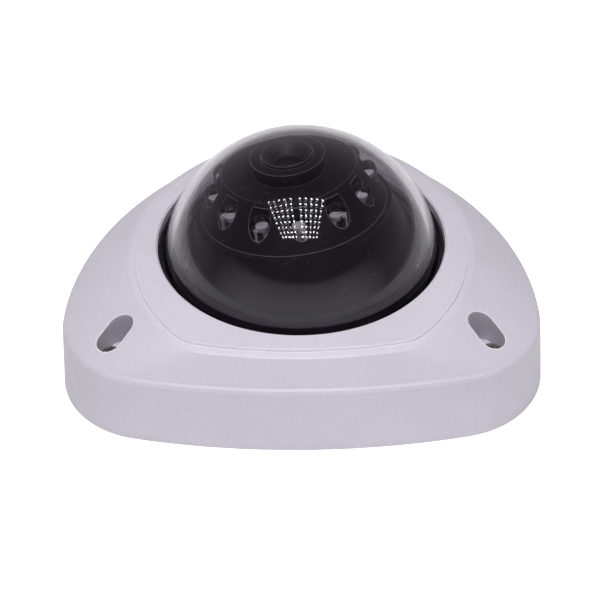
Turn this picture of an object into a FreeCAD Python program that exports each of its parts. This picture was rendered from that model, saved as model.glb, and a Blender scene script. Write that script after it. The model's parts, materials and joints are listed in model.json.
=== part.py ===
import FreeCAD, Part
import math
import os
import re
import Sketcher

# Vandal-proof dome camera, in millimetres. Z is the dome's axis, z = 0 is the face that
# lies on the wall or ceiling, and -Y is the flat front of the housing.

doc = FreeCAD.newDocument("dome_camera")
doc.UndoMode = 0

# --------------------------------------------------------------------------- dimensions
# The rim and the raised panel are outlines of tangent arcs: a nearly flat front, two front
# corners, two long sides and a back. Each is given by its radii and arc centres.
DIMENSIONS = {
    "rim_corner_x": 34.5, "rim_corner_y": 20.6, "rim_corner_r": 22.5,
    "rim_front_r": 190, "rim_side_r": 76.5, "rim_back_r": 20, "rim_back_y": 32.5,
    "panel_corner_x": 21.3, "panel_corner_y": 28.2, "panel_corner_r": 11.8,
    "panel_front_r": 116, "panel_side_r": 48.3, "panel_back_r": 27, "panel_back_y": 16.5,
    "corner_split": 37,
    "rim_height": 17.7, "ridge_height": 24.1, "top_height": 25.1,
    "skirt_draft": 1.3, "ledge_width": 1.6, "ledge_height": 24.5, "wall": 2.8,
    "rim_round": 1.0, "ridge_round": 0.3, "mouth_chamfer": 0.5,
    "cavity_shoulder": 15.2, "cavity_roof": 22.6, "roof_inset": 1.0,
    "opening_r": 35.2, "pivot_height": 17,
    # base plate
    "base_thick": 2.5, "base_inset": 2.0, "lip_outer": 5.0, "lip_inner": 7.0, "lip_top": 4.5,
    "seal_outer": 1.95, "seal_inner": 4.9, "seal_top": 4.3, "seal_gap": 0.1,
    "blind_floor": 0.8, "tip_gap": 0.4,
    "wall_hole_circle": 70, "wall_hole_r": 2.2,
    "cable_y": 34, "cable_hole_r": 4.6, "cable_bore_r": 3.0,
    "grommet_flange_r": 6.2, "grommet_top": 4.3, "grommet_slot": 0.6,
    "pan_post_r": 6, "pan_post_top": 7.0, "pan_thread_r": 1.9,
    # cover screws
    "screw_x": 44.55, "screw_y": 31.65, "back_screw_y": 44.6,
    "post_r": 4.2, "post_top": 8.0, "insert_r": 2.2, "insert_bottom": 3.5,
    "boss_r": 5.0, "boss_bottom": 8.2,
    "screw_clear_r": 1.7, "screw_shank_r": 1.45, "screw_head_r": 2.9, "screw_head": 2.2,
    "hex_r": 1.15, "hex_depth": 1.4,
    "pocket_r": 3.2, "pocket_floor": 14.0, "pocket_run": 4.0, "back_pocket_run": 0.3,
    "screw_seal": 0.4, "washer_seal_r": 2.8,
    # bubble and what holds it
    "bubble_r": 34.2, "bubble_wall": 2.0, "flange_r": 38.6, "flange_bottom": 20,
    "flange_top": 22, "gasket_r": 34.6,
    "clamp_bottom": 17.6, "clamp_in_r": 29.4, "clamp_out_r": 39.0, "liner_out_r": 31.1,
    "liner_top": 23.6, "clamp_screw_circle_r": 41.6, "clamp_lug_r": 2.2,
    "clamp_screw_r": 0.9, "clamp_head_r": 1.8, "clamp_head": 1.2, "clamp_screw_tip": 21.8,
    "clamp_gap": 0.2,
    # main board
    "board_bottom": 4.0, "board_thick": 1.6, "board_r": 21, "board_hole_r": 7,
    "standoff_r": 2.3, "board_screw_circle_r": 17.5, "small_screw_r": 0.95,
    "small_head_r": 1.8, "small_head": 1.1,
    # pan turntable and tilt yoke
    "table_bottom": 7.4, "table_top": 9.4, "table_r": 22.3, "shoulder_r": 2.9,
    "running_gap": 0.06, "pan_head_r": 3.8, "pan_head": 1.5, "pan_hex_floor": 0.5,
    "pan_head_gap": 0.5, "washer_r": 5.6,
    "yoke_thick": 1.5, "yoke_reach": 22.3, "yoke_width": 10, "yoke_ear": 3.6,
    "yoke_screw_reach": 13, "pin_r": 1.5, "pin_head_r": 2.5, "pin_head": 1.0,
    "pin_end": 26.6,
    # ball
    "ball_r": 28.5, "ball_wall": 1.6, "ball_cut_angle": 25, "ball_top": 17.5,
    "ball_bore_r": 20.6, "collar_r": 23.4, "collar_bottom": 14.8,
    "lug_r": 4.2, "lug_in": 23.2, "lug_out": 27.0, "bush_r": 2.3,
    "rest_lean": 7, "lean_azimuth": 140,
    # camera head, measured from the pivot along the lens axis
    "bezel_bottom": 17.75, "bezel_r": 22.3, "disc_height": 27.6, "disc_r": 15.6,
    "bezel_wall": 1.8, "led_circle_r": 17.9, "led_r": 2.5, "led_hole_r": 2.65,
    "led_base": 18.0, "led_shoulder": 23.2, "led_hole_top": 26.6, "led_phase": 17.5,
    "led_board_bottom": 16.4, "led_board_r": 20.3, "led_board_hole_r": 8.7,
    "retainer_bottom": 13.2, "retainer_top": 14.6, "retainer_r": 22.4, "retainer_in_r": 15.5,
    "head_boss_r": 1.8, "head_boss_top": 24.0, "head_screw_tip": 21.5, "boss_skin": 0.4,
    "hood_r": 8.7, "hood_top": 30.6, "hood_in_r": 6.15, "hood_bottom": 25.8,
    "barrel_r": 5.9, "barrel_top": 31.2, "barrel_bottom": 13.5, "barrel_bore_r": 4.4,
    "funnel_r": 5.3, "funnel_in_r": 3.3, "funnel_depth": 2.0,
    "front_glass_r": 4.3, "front_glass_crown": 28.9, "front_glass_back": 26.6,
    "rear_glass_front": 17.2, "rear_glass_back": 15.0,
    "holder_base": 16, "holder_bottom": 8.2, "holder_shoulder": 12, "holder_top": 18.5,
    "holder_tube_r": 7.9, "holder_cavity": 11, "holder_roof": 0.8, "thread_bottom": 11,
    "filter_size": 10, "filter_bottom": 10.3, "filter_thick": 0.7,
    "sensor_board_x": 26, "sensor_board_y": 19, "sensor_board_bottom": 7.0,
    "sensor_size": 9, "sensor_thick": 1.4,
    "sensor_post_x": 11, "sensor_post_y": 7.2, "sensor_post_r": 1.6,
    "sensor_post_bore": 5, "sensor_screw_reach": 4,
    # parts on the boards
    "capacitor_r": 1.9, "capacitor_height": 1.5,
    "socket_length": 9, "socket_width": 3.4, "socket_height": 1.6, "socket_y": -14,
    "socket_in_length": 7.6, "socket_in_width": 2.0, "socket_floor": 0.6,
}
# Length, width and height of each plain block, and the place of its middle.
BOARD_BLOCKS = {
    "video_processor": (9, 9, 1.0, 14, 0),
    "network_transformer": (6, 8, 1.5, -14.5, 0),
    "flash_memory": (5, 6, 0.9, -9, 12.5),
}
LIGHT_SENSOR = (2.2, 1.6, 0.9, 11.5, 0)
CAPACITOR_PLACES = ((8, 13.2), (12.8, 9.2))
FRONT_CORNERS = (-1, 1)
LED_COUNT = 12
BOARD_SCREW_ANGLES = (90, 210, 330)
CLAMP_ANGLES = (45, 135, 225, 315)
WALL_HOLE_ANGLES = (30, 150, 270)
# Directions of the cover screws' pockets, away from the dome: front left, front right, back.
POCKET_ANGLES = {-1: -125, 1: -55, 0: 90}
HEAD_SCREW_STEPS = (0, 4, 8)

sheet = doc.addObject("Spreadsheet::Sheet", "Dims")
for row, (alias, value) in enumerate(DIMENSIONS.items(), start=1):
    sheet.set(f"A{row}", alias)
    sheet.set(f"B{row}", str(value))
    sheet.setAlias(f"B{row}", alias)
doc.recompute()

NODES = []


# ------------------------------------------------------------------------------ helpers
def expr(text):
    """The expression with each dimension's name pointed at its cell in the sheet."""
    return re.sub(r"[a-z_]{3,}", lambda word: f"Dims.{word[0]}" if word[0] in DIMENSIONS else word[0],
                  str(text))


def value_of(text):
    """The expression's value as a plain number."""
    names = {name: float(number) for name, number in DIMENSIONS.items()}
    terms = re.findall(r"[+-]?[^+-]+", str(text).replace(" ", ""))
    total = 0.0
    for term in terms:
        sign = -1.0 if term.startswith("-") else 1.0
        product = sign
        for factor in term.lstrip("+-").split("*"):
            product *= names[factor] if factor in names else float(factor)
        total += product
    return total


def bind(obj, **links):
    for prop, text in links.items():
        obj.setExpression(prop, expr(text))
    return obj


def move(obj, x=0, y=0, z=0):
    for axis, text in (("x", x), ("y", y), ("z", z)):
        obj.setExpression(f"Placement.Base.{axis}", expr(text))
    return obj


def cylinder(radius, height, x=0, y=0, z=0):
    return move(bind(doc.addObject("Part::Cylinder", "Cylinder"), Radius=radius, Height=height), x, y, z)


def cross_cylinder(radius, start, length):
    """A cylinder that lies along Y from start."""
    obj = doc.addObject("Part::Cylinder", "CrossCylinder")
    obj.Placement.Rotation = FreeCAD.Rotation(FreeCAD.Vector(1, 0, 0), -90)
    return move(bind(obj, Radius=radius, Height=length), y=start)


def cone(bottom, top, height, z):
    obj = doc.addObject("Part::Cone", "Cone")
    return move(bind(obj, Radius1=bottom, Radius2=top, Height=height), z=z)


def sphere(radius, z=0):
    return move(bind(doc.addObject("Part::Sphere", "Sphere"), Radius=radius), z=z)


def box(length, width, height, x=0, y=0, z=0):
    """A box centred on x and y that stands on z."""
    obj = bind(doc.addObject("Part::Box", "Box"), Length=length, Width=width, Height=height)
    return move(obj, f"{x} - ({length}) / 2", f"{y} - ({width}) / 2", z)


def hexagon(radius, height, x=0, y=0, z=0):
    obj = doc.addObject("Part::Prism", "Prism")
    obj.Polygon = 6
    return move(bind(obj, Circumradius=radius, Height=height), x, y, z)


def fuse(*parts):
    if len(parts) == 1:
        return parts[0]
    obj = doc.addObject("Part::MultiFuse", "Fusion")
    obj.Shapes = list(parts)
    return obj


def cut(base, *tools):
    obj = doc.addObject("Part::Cut", "Cut")
    obj.Base = base
    obj.Tool = fuse(*tools)
    return obj


def common(first, second):
    obj = doc.addObject("Part::MultiCommon", "Common")
    obj.Shapes = [first, second]
    return obj


def tube(outer, inner, height, z=0):
    return cut(cylinder(outer, height, z=z), cylinder(inner, height, z=z))


def polar(radius, degrees):
    """X and Y expressions of a point on a circle."""
    return f"{radius} * cos({degrees} * 1 deg)", f"{radius} * sin({degrees} * 1 deg)"


def screw(shank, head_r, head, tip, under, socket=True, x=0, y=0, head_down=False):
    """A screw with its tip at one height and the underside of its head at another."""
    if head_down:
        body = fuse(cylinder(shank, f"{tip} - {under}", x, y, under),
                    cylinder(head_r, head, x, y, f"{under} - {head}"))
        recess = hexagon("hex_r", "hex_depth / 2", x, y, f"{under} - {head}")
    else:
        body = fuse(cylinder(shank, f"{under} - {tip}", x, y, tip), cylinder(head_r, head, x, y, under))
        recess = hexagon("hex_r", "hex_depth", x, y, f"{under} + {head} - hex_depth")
    return cut(body, recess) if socket else body


def node(obj, label):
    obj.Label = label
    NODES.append(obj)
    return obj


def lean(obj):
    """Puts a piece made about the lens axis, with the pivot as its origin, in its place."""
    holder = doc.addObject("Part::Compound", "Leaning")
    holder.Links = [obj]
    holder.Placement = FreeCAD.Placement(
        FreeCAD.Vector(0, 0, DIMENSIONS["pivot_height"]),
        FreeCAD.Rotation(DIMENSIONS["lean_azimuth"], DIMENSIONS["rest_lean"], 0))
    holder.setExpression("Placement.Base.z", expr("pivot_height"))
    return holder


def turn(obj):
    """Turns a piece of the carriage, made with its arms along Y, to its place about Z."""
    obj.Placement.Rotation = FreeCAD.Rotation(FreeCAD.Vector(0, 0, 1), DIMENSIONS["lean_azimuth"])
    return obj


# ------------------------------------------------------------------- bodies and sketches
def new_sketch(body, name, height):
    """A sketch on a plane parallel to the body's XY plane."""
    plane = next(f for f in body.Origin.OriginFeatures if f.Role == "XY_Plane")
    sketch = body.newObject("Sketcher::SketchObject", name)
    sketch.AttachmentSupport = (plane, "")
    sketch.MapMode = "FlatFace"
    sketch.setExpression("AttachmentOffset.Base.z", expr(height))
    return sketch


def fix(sketch, name, constraint, text):
    sketch.renameConstraint(sketch.addConstraint(constraint), name)
    sketch.setExpression(f"Constraints.{name}", expr(text))


def outline_arcs(kind, offset):
    """Centres, radii, end angles and radius names of an outline's arcs, anticlockwise."""
    size = {key: DIMENSIONS[f"{kind}_{key}"] for key in
            ("corner_x", "corner_y", "corner_r", "front_r", "side_r", "back_r", "back_y")}
    corner = FreeCAD.Vector(size["corner_x"], -size["corner_y"], 0)
    back = FreeCAD.Vector(0, size["back_y"], 0)
    front_rise = math.sqrt((size["front_r"] - size["corner_r"]) ** 2 - corner.x ** 2)
    front = FreeCAD.Vector(0, corner.y + front_rise, 0)
    # The side's centre is as far from the two end centres as tangency asks.
    to_corner = size["side_r"] - size["corner_r"]
    to_back = size["side_r"] - size["back_r"]
    along = back - corner
    gap = along.Length
    reach = (to_corner ** 2 - to_back ** 2 + gap ** 2) / (2 * gap)
    along.normalize()
    across = FreeCAD.Vector(-along.y, along.x, 0)
    side = corner + along * reach + across * math.sqrt(to_corner ** 2 - reach ** 2)
    front_end = math.atan2(corner.y - front.y, corner.x)
    side_start = math.atan2(corner.y - side.y, corner.x - side.x)
    side_end = math.atan2(back.y - side.y, back.x - side.x)
    # Both outlines change arcs at the same two directions on each side, so that a loft
    # between them joins points that face the same way.
    split = -math.radians(DIMENSIONS["corner_split"])
    if side_start > split:
        right = [(corner, "corner_r", front_end, split), (corner, "corner_r", split, side_start),
                 (side, "side_r", side_start, side_end)]
    else:
        right = [(corner, "corner_r", front_end, side_start), (side, "side_r", side_start, 0.0),
                 (side, "side_r", 0.0, side_end)]
    left = [(FreeCAD.Vector(-centre.x, centre.y, 0), key, math.pi - end, math.pi - start)
            for centre, key, start, end in reversed(right)]
    arcs = ([(front, "front_r", -math.pi - front_end, front_end)] + right
            + [(back, "back_r", side_end, math.pi - side_end)] + left)
    return [(centre, size[key] + offset, start, end, key) for centre, key, start, end in arcs]


def add_outline(sketch, kind, offset, tag=""):
    """Draws one outline, moved out by an offset, and constrains its arcs."""
    first = sketch.GeometryCount
    arcs = outline_arcs(kind, value_of(offset))
    up = FreeCAD.Vector(0, 0, 1)
    for centre, radius, start, end, _ in arcs:
        sketch.addGeometry(Part.ArcOfCircle(Part.Circle(centre, up, radius), start, end), False)
    count = len(arcs)
    for step in range(count):
        here, after = first + step, first + (step + 1) % count
        if arcs[step][0] == arcs[(step + 1) % count][0]:
            sketch.addConstraint(Sketcher.Constraint("Coincident", here, 2, after, 1))
            sketch.addConstraint(Sketcher.Constraint("Coincident", here, 3, after, 3))
        else:
            sketch.addConstraint(Sketcher.Constraint("Tangent", here, 2, after, 1))
    keys = [arc[4] for arc in arcs]
    corner, side, back = (first + keys.index(key) for key in ("corner_r", "side_r", "back_r"))
    left_corner = first + count - 1
    left_side = back + 1
    sketch.addConstraint(Sketcher.Constraint("Equal", corner, left_corner))
    sketch.addConstraint(Sketcher.Constraint("Equal", side, left_side))
    sketch.addConstraint(Sketcher.Constraint("Symmetric", corner, 3, left_corner, 3, -2))
    sketch.addConstraint(Sketcher.Constraint("PointOnObject", back, 3, -2))
    for arc, name in ((first, "front_r"), (corner, "corner_r"), (side, "side_r"), (back, "back_r")):
        radius = sketch.Geometry[arc].Radius
        fix(sketch, name + tag, Sketcher.Constraint("Radius", arc, radius), f"{kind}_{name} + {offset}")
    size = DIMENSIONS
    fix(sketch, "corner_x" + tag,
        Sketcher.Constraint("DistanceX", -1, 1, corner, 3, size[f"{kind}_corner_x"]), f"{kind}_corner_x")
    fix(sketch, "corner_y" + tag,
        Sketcher.Constraint("DistanceY", corner, 3, -1, 1, size[f"{kind}_corner_y"]), f"{kind}_corner_y")
    fix(sketch, "back_y" + tag,
        Sketcher.Constraint("DistanceY", -1, 1, back, 3, size[f"{kind}_back_y"]), f"{kind}_back_y")


def outline_sketch(body, name, kind, height, *offsets):
    """One outline, or two as the walls of a ring."""
    sketch = new_sketch(body, name, height)
    for index, offset in enumerate(offsets):
        add_outline(sketch, kind, offset, f"_{index}")
    return sketch


def pad(body, sketch, length, down=False):
    feature = body.newObject("PartDesign::Pad", "Pad")
    feature.Profile = sketch
    feature.Reversed = down
    return bind(feature, Length=length)


def loft(body, sketches):
    """Straight-sided loft through sketches from the bottom up."""
    feature = body.newObject("PartDesign::AdditiveLoft", "Loft")
    feature.Profile = sketches[0]
    feature.Sections = sketches[1:]
    feature.Ruled = True


def boolean(label, base, added=(), removed=()):
    """The body's shape with primitives fused to it and then cut from it."""
    result = fuse(base, *added)
    return node(cut(result, *removed), label)


# ------------------------------------------------------------------------------ housing
# Where each cover screw stands, how far its pocket runs inwards, and the pocket's direction.
SCREW_PLACES = [(f"{side} * screw_x", "-screw_y", "pocket_run", POCKET_ANGLES[side])
                for side in FRONT_CORNERS]
SCREW_PLACES.append(("0", "back_screw_y", "back_pocket_run", POCKET_ANGLES[0]))


def make_base_plate():
    """Cast plate that goes on the wall: a lip for the seal, posts for the cover's screws,
    the pan post in the middle, board standoffs, wall holes and the cable hole."""
    body = doc.addObject("PartDesign::Body", "BasePlateBody")
    pad(body, outline_sketch(body, "PlateOutline", "rim", 0, "-base_inset"), "base_thick")
    pad(body, outline_sketch(body, "LipOutline", "rim", 0, "-lip_outer", "-lip_inner"), "lip_top")
    added = [cylinder("pan_post_r", "pan_post_top")]
    removed = [cylinder("pan_thread_r", "pan_post_top - blind_floor", z="blind_floor"),
               cylinder("cable_hole_r", "base_thick", y="cable_y")]
    for x, y, *_ in SCREW_PLACES:
        added.append(cylinder("post_r", "post_top", x, y))
        removed.append(cylinder("insert_r", "post_top - insert_bottom", x, y, "insert_bottom"))
    for angle in BOARD_SCREW_ANGLES:
        x, y = polar("board_screw_circle_r", angle)
        added.append(cylinder("standoff_r", "board_bottom", x, y))
        removed.append(cylinder("small_screw_r", "board_bottom - blind_floor", x, y, "blind_floor"))
    for angle in WALL_HOLE_ANGLES:
        removed.append(cylinder("wall_hole_r", "base_thick", *polar("wall_hole_circle / 2", angle)))
    boolean("base_plate", body, added, removed)


def make_perimeter_seal():
    """Moulded seal that follows the rim, notched round the screw posts."""
    body = doc.addObject("PartDesign::Body", "SealBody")
    ring = outline_sketch(body, "SealOutline", "rim", "base_thick", "-seal_outer", "-seal_inner")
    pad(body, ring, "seal_top - base_thick")
    notches = [cylinder("post_r + seal_gap", "seal_top", x, y) for x, y, *_ in SCREW_PLACES]
    node(cut(body, *notches), "perimeter_seal")


def make_top_cover():
    """Die-cast cover: drafted skirt, sloping shoulder, narrow ledge and raised panel round the
    opening."""
    body = doc.addObject("PartDesign::Body", "CoverBody")
    # Each edge is softened by two narrow bands, one each side of where the faces would meet.
    sections = [
        ("SkirtFoot", "rim", "0", "skirt_draft"),
        ("RimUnder", "rim", "rim_height - rim_round", "0.07 * rim_round"),
        ("RimMiddle", "rim", "rim_height - 0.3 * rim_round", "-0.3 * rim_round"),
        ("RimOver", "rim", "rim_height + 0.1 * rim_round", "-0.9 * rim_round"),
        ("RidgeUnder", "panel", "ridge_height - 0.3 * ridge_round", "ridge_round"),
        ("RidgeOver", "panel", "ridge_height + 0.4 * ridge_round", "-0.6 * ridge_round"),
        ("LedgeEnd", "panel", "ledge_height", "-ledge_width"),
        ("TopUnder", "panel", "top_height - 0.6 * ridge_round", "-ledge_width - 0.4 * ridge_round"),
        ("TopOver", "panel", "top_height", "-ledge_width - 1.4 * ridge_round"),
    ]
    sketches = [outline_sketch(body, name, kind, height, offset)
                for name, kind, height, offset in sections]
    loft(body, sketches)
    hollow = doc.addObject("PartDesign::Body", "CavityBody")
    loft(hollow, [outline_sketch(hollow, "CavityFoot", "rim", 0, "skirt_draft - wall"),
                  outline_sketch(hollow, "CavityShoulder", "rim", "cavity_shoulder", "-wall"),
                  outline_sketch(hollow, "CavityRoof", "panel", "cavity_roof", "-roof_inset")])
    bosses = []
    holes = [cylinder("opening_r", "top_height", z="cavity_roof / 2"),
             cone("opening_r", "opening_r + 2 * mouth_chamfer", "2 * mouth_chamfer",
                  "top_height - mouth_chamfer")]
    for x, y, run, azimuth in SCREW_PLACES:
        bosses.append(screw_slot(x, y, run, azimuth, "boss_r", "boss_bottom"))
        holes.append(cylinder("screw_clear_r", "pocket_floor", x, y, "boss_bottom"))
        holes.append(screw_slot(x, y, run, azimuth, "pocket_r", "pocket_floor"))
    for angle in CLAMP_ANGLES:
        x, y = polar("clamp_screw_circle_r", angle)
        bosses.append(cylinder("clamp_lug_r", "top_height", x, y, "flange_bottom"))
        holes.append(cylinder("clamp_screw_r", "clamp_screw_tip - clamp_bottom", x, y, "clamp_bottom"))
        holes.append(cylinder("clamp_lug_r + clamp_gap", "flange_bottom - clamp_bottom", x, y,
                              "clamp_bottom"))
    node(cut(body, cut(hollow, *bosses), *holes), "top_cover")


def screw_slot(x, y, run, azimuth, radius, floor):
    """A round-ended upright slot about one cover screw, which runs inwards from it."""
    outer = cylinder(radius, "top_height", x, y, floor)
    x_in = f"{x} - {run} * cos({azimuth} deg)"
    y_in = f"{y} - {run} * sin({azimuth} deg)"
    inner = cylinder(radius, "top_height", x_in, y_in, floor)
    web = doc.addObject("Part::Box", "SlotWeb")
    bind(web, Length=run, Width=f"2 * {radius}", Height="top_height")
    side = math.radians(azimuth + 90)
    web.Placement.Rotation = FreeCAD.Rotation(FreeCAD.Vector(0, 0, 1), azimuth)
    move(web, f"{x_in} - {radius} * {math.cos(side)}", f"{y_in} - {radius} * {math.sin(side)}", floor)
    return fuse(outer, inner, web)


def make_cover_fasteners():
    screws = []
    seals = []
    inserts = []
    for x, y, *_ in SCREW_PLACES:
        head_under = "pocket_floor + screw_seal"
        screws.append(screw("screw_shank_r", "screw_head_r", "screw_head", "insert_bottom",
                            f"({head_under})", x=x, y=y))
        seals.append(cut(cylinder("washer_seal_r", "screw_seal", x, y, "pocket_floor"),
                         cylinder("screw_clear_r", "screw_seal", x, y, "pocket_floor")))
        inserts.append(cut(cylinder("insert_r", "post_top - insert_bottom", x, y, "insert_bottom"),
                           cylinder("screw_shank_r", "post_top", x, y, "insert_bottom")))
    node(fuse(*screws), "cover_screws")
    node(fuse(*seals), "screw_seals")
    node(fuse(*inserts), "brass_inserts")


def make_dome():
    """Polycarbonate bubble with the flange that the clamp ring holds, and its gasket."""
    outside = fuse(sphere("bubble_r", "pivot_height"),
                   cylinder("flange_r", "flange_top - flange_bottom", z="flange_bottom"))
    inside = sphere("bubble_r - bubble_wall", "pivot_height")
    below = cylinder("2 * bubble_r", "2 * bubble_r", z="flange_bottom - 2 * bubble_r")
    node(cut(outside, inside, below), "dome_bubble")
    node(tube("flange_r", "gasket_r", "cavity_roof - flange_top", "flange_top"), "dome_gasket")


def make_clamp_ring():
    """Black ring under the flange, with a liner that hides the gap round the ball."""
    plate = cylinder("clamp_out_r", "flange_bottom - clamp_bottom", z="clamp_bottom")
    liner = cylinder("liner_out_r", "liner_top - clamp_bottom", z="clamp_bottom")
    lugs = []
    holes = [cylinder("clamp_in_r", "liner_top", z="clamp_bottom")]
    screws = []
    for angle in CLAMP_ANGLES:
        x, y = polar("clamp_screw_circle_r", angle)
        lugs.append(cylinder("clamp_lug_r", "flange_bottom - clamp_bottom", x, y, "clamp_bottom"))
        arm = doc.addObject("Part::Box", "ClampArm")
        bind(arm, Length="clamp_screw_circle_r - liner_out_r", Width="2 * clamp_lug_r",
             Height="flange_bottom - clamp_bottom")
        arm.Placement.Rotation = FreeCAD.Rotation(FreeCAD.Vector(0, 0, 1), angle)
        move(arm, f"liner_out_r * cos({angle} deg) + clamp_lug_r * sin({angle} deg)",
             f"liner_out_r * sin({angle} deg) - clamp_lug_r * cos({angle} deg)", "clamp_bottom")
        lugs.append(arm)
        holes.append(cylinder("clamp_screw_r", "flange_bottom", x, y, "clamp_bottom"))
        screws.append(screw("clamp_screw_r", "clamp_head_r", "clamp_head", "clamp_screw_tip",
                            "clamp_bottom", x=x, y=y, head_down=True))
    node(cut(fuse(plate, liner, *lugs), *holes), "clamp_ring")
    node(fuse(*screws), "clamp_screws")


def make_cable_grommet():
    """Rubber bush in the cable hole, gripping the plate between two flanges."""
    neck = cylinder("cable_hole_r", "base_thick", y="cable_y", z="0")
    flange = cylinder("grommet_flange_r", "grommet_top - base_thick", y="cable_y", z="base_thick")
    bore = cylinder("cable_bore_r", "grommet_top", y="cable_y")
    node(cut(fuse(neck, flange), bore), "cable_grommet")


def make_main_board():
    top = "(board_bottom + board_thick)"
    holes = [cylinder("board_hole_r", "board_thick", z="board_bottom")]
    screws = []
    for angle in BOARD_SCREW_ANGLES:
        x, y = polar("board_screw_circle_r", angle)
        holes.append(cylinder("small_screw_r", "board_thick", x, y, "board_bottom"))
        screws.append(screw("small_screw_r", "small_head_r", "small_head",
                            "(blind_floor + tip_gap)", top, socket=False, x=x, y=y))
    node(cut(cylinder("board_r", "board_thick", z="board_bottom"), *holes), "main_board")
    node(fuse(*screws), "board_screws")
    for name, block in BOARD_BLOCKS.items():
        node(box(*block, top), name)
    node(fuse(*[cylinder("capacitor_r", "capacitor_height", x, y, top) for x, y in CAPACITOR_PLACES]),
         "capacitors")
    node(cut(box("socket_length", "socket_width", "socket_height", 0, "socket_y", top),
             box("socket_in_length", "socket_in_width", "socket_height", 0, "socket_y",
                 f"{top} + socket_floor")), "harness_socket")


# -------------------------------------------------------------------------- pan carriage
def make_pan_carriage():
    """Turntable on the pan post, the tilt yoke on it, and the yoke's pins and screws."""
    node(tube("washer_r", "shoulder_r + running_gap", "table_bottom - pan_post_top", "pan_post_top"),
         "pan_washer")
    shoulder = cylinder("shoulder_r", "table_top + running_gap - pan_post_top", z="pan_post_top")
    thread = cylinder("pan_thread_r", "pan_post_top - blind_floor - tip_gap", z="blind_floor + tip_gap")
    head = cylinder("pan_head_r", "pan_head", z="table_top + running_gap")
    recess = hexagon("hex_r", "pan_head", z="table_top + running_gap + pan_hex_floor")
    node(cut(fuse(shoulder, thread, head), recess), "pan_screw")
    table = cylinder("table_r", "table_top - table_bottom", z="table_bottom")
    table_bores = [cylinder("shoulder_r + running_gap", "table_top", z="table_bottom")]
    strap = box("yoke_width", "2 * yoke_reach", "yoke_thick", z="table_top")
    arm_height = "pivot_height + yoke_ear - table_top"
    arms = [box("yoke_width", "yoke_thick", arm_height,
                y=f"{side} * (yoke_reach - yoke_thick / 2)", z="table_top") for side in FRONT_CORNERS]
    yoke_bores = [cylinder("pan_head_r + pan_head_gap", "yoke_thick", z="table_top")]
    screws = []
    pins = []
    for side in FRONT_CORNERS:
        y = f"{side} * yoke_screw_reach"
        table_bores.append(cylinder("small_screw_r", "table_top", y=y, z="table_bottom"))
        yoke_bores.append(cylinder("small_screw_r", "yoke_thick", y=y, z="table_top"))
        screws.append(screw("small_screw_r", "small_head_r", "small_head", "table_bottom",
                            "(table_top + yoke_thick)", socket=False, y=y))
        shank = side_cylinder(side, "pin_r", "yoke_reach - yoke_thick", "pin_end")
        head = side_cylinder(side, "pin_head_r", "yoke_reach - yoke_thick - pin_head",
                             "yoke_reach - yoke_thick")
        pins.append(fuse(shank, head))
        yoke_bores.append(side_cylinder(side, "pin_r", "yoke_reach - yoke_thick", "yoke_reach"))
    node(turn(cut(table, *table_bores)), "turntable")
    node(turn(cut(fuse(strap, *arms), *yoke_bores)), "tilt_yoke")
    node(turn(fuse(*screws)), "yoke_screws")
    node(turn(fuse(*pins)), "pivot_pins")


def side_cylinder(side, radius, start, end, height="pivot_height"):
    """A cylinder along Y between two distances from the lens axis, on one side of it."""
    obj = cross_cylinder(radius, f"{side} * ({start})", f"({end}) - ({start})")
    if side < 0:
        obj.Placement.Rotation = FreeCAD.Rotation(FreeCAD.Vector(1, 0, 0), 90)
    obj.setExpression("Placement.Base.z", expr(height))
    return obj


# ------------------------------------------------------------------------------ tilt ball
def make_tilt_ball():
    """Black ball: open below, where its edge slopes so that it clears the base at full tilt."""
    outer = sphere("ball_r")
    inner = sphere("ball_r - ball_wall")
    above = cylinder("2 * ball_r", "ball_r", z="ball_top")
    below = doc.addObject("Part::Cylinder", "BallUnderside")
    below.Placement.Rotation = FreeCAD.Rotation(FreeCAD.Vector(0, 1, 0),
                                                180 - DIMENSIONS["ball_cut_angle"])
    bind(below, Radius="2 * ball_r", Height="2 * ball_r")
    collar = cylinder("collar_r", "ball_top - collar_bottom", z="collar_bottom")
    lugs = []
    bores = [cylinder("ball_bore_r", "ball_r", z="collar_bottom")]
    bushes = []
    for side in FRONT_CORNERS:
        lugs.append(side_cylinder(side, "lug_r", "lug_in", "lug_out", "0"))
        bores.append(side_cylinder(side, "bush_r", "lug_in", "lug_out", "0"))
        bushes.append(cut(side_cylinder(side, "bush_r", "lug_in", "lug_out", "0"),
                          side_cylinder(side, "pin_r + running_gap", "lug_in", "lug_out", "0")))
    shell = cut(outer, inner, above, below)
    node(lean(cut(fuse(shell, collar, *lugs), *bores)), "ball_shell")
    node(lean(fuse(*bushes)), "pivot_bushes")


# ---------------------------------------------------------------------------- camera head
def led_place(step):
    return polar("led_circle_r", f"(led_phase + {step * 360 / LED_COUNT})")


def make_head_bezel():
    """Front of the head: a flat disc round the lens and a sloping band with the LED holes."""
    band = cone("bezel_r", "disc_r", "disc_height - bezel_bottom", "bezel_bottom")
    hollow = cone("bezel_r - bezel_wall", "disc_r - bezel_wall",
                  "disc_height - bezel_wall - bezel_bottom", "bezel_bottom")
    bosses = []
    holes = [cylinder("hood_r + running_gap", "disc_height", z="bezel_bottom")]
    for step in range(LED_COUNT):
        x, y = led_place(step)
        holes.append(cylinder("led_hole_r", "led_hole_top - bezel_bottom", x, y, "bezel_bottom"))
    screw_bores = []
    for step in HEAD_SCREW_STEPS:
        x, y = led_place(step + 0.5)
        bosses.append(cylinder("head_boss_r", "head_boss_top - led_base", x, y, "led_base"))
        screw_bores.append(cylinder("small_screw_r", "head_screw_tip - led_base", x, y, "led_base"))
    # The bosses stop just under the band's outside.
    skin = cone("bezel_r - boss_skin", "disc_r - boss_skin", "disc_height - bezel_bottom", "bezel_bottom")
    shell = fuse(cut(band, hollow, *holes), common(fuse(*bosses), skin))
    node(lean(cut(shell, *screw_bores)), "head_bezel")


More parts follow.
